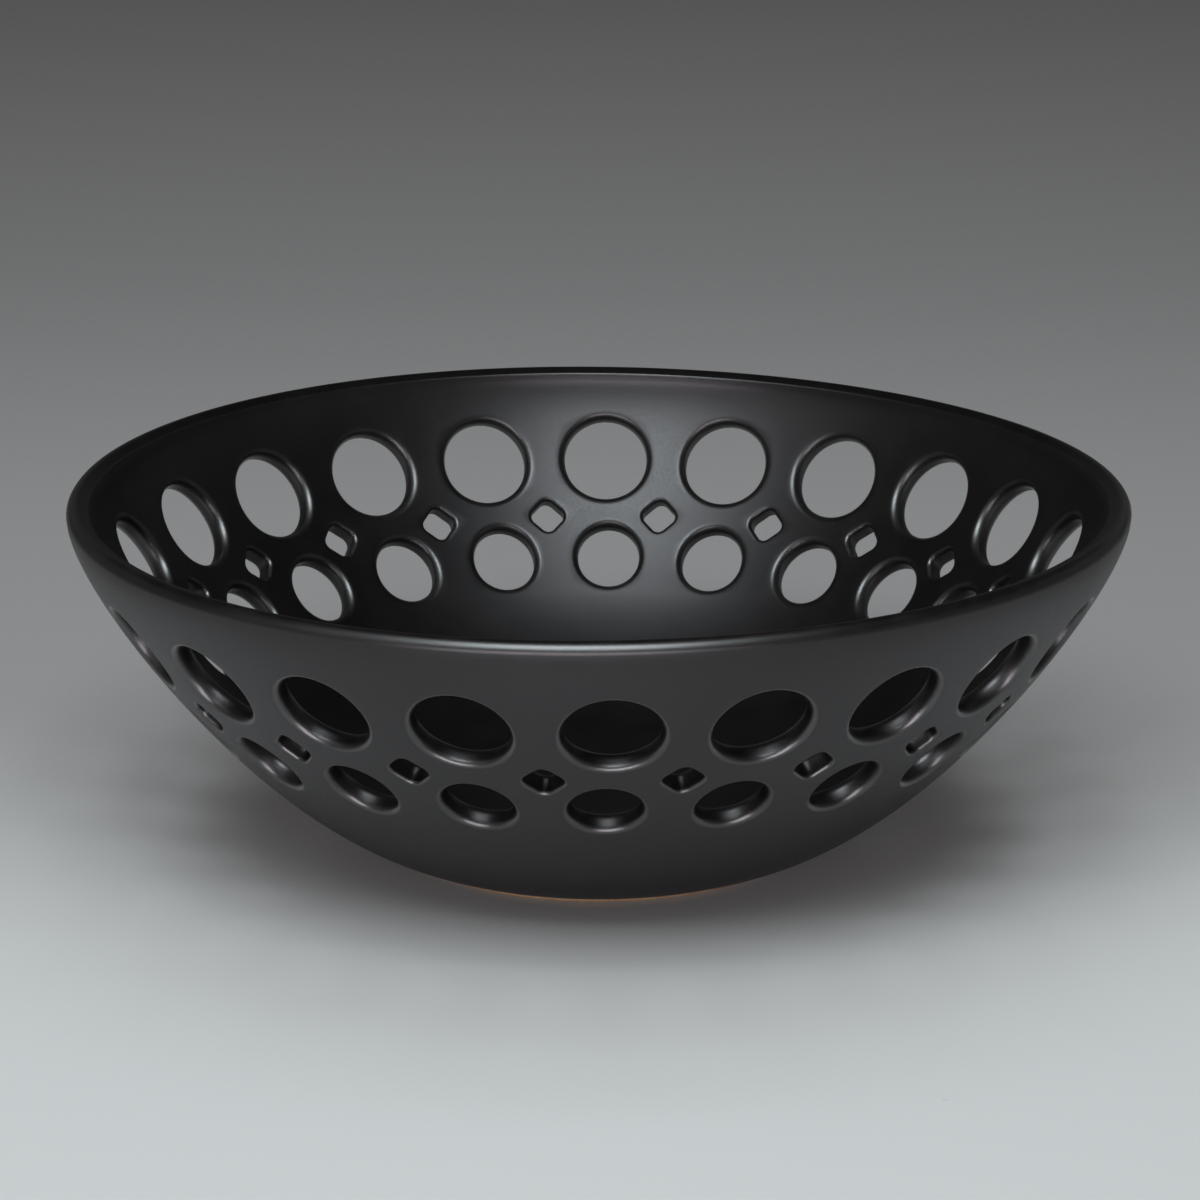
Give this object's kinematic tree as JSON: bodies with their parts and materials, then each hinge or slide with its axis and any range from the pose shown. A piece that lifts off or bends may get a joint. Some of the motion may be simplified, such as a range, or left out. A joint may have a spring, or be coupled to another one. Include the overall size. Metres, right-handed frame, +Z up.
{
  "type": "pierced bowl",
  "caption": "Wide flared ceramic bowl in satin black glaze, its wall pierced by rings of round holes and small diamonds, standing on a bare clay foot ring.",
  "frame": {"origin": "centre of the foot ring's underside, on the table, on the bowl's axis", "axes": "+Z up along the bowl's axis, +X to the right and -Y towards the viewer of the picture"},
  "size_m": [0.305, 0.3049, 0.104],
  "materials": {
    "black_glaze": "satin black glaze",
    "bare_clay": "bare fired buff clay, matt"
  },
  "bodies": {
    "root": {"pierced_bowl": "black_glaze", "foot_ring": "bare_clay"}
  },
  "joints": []
}
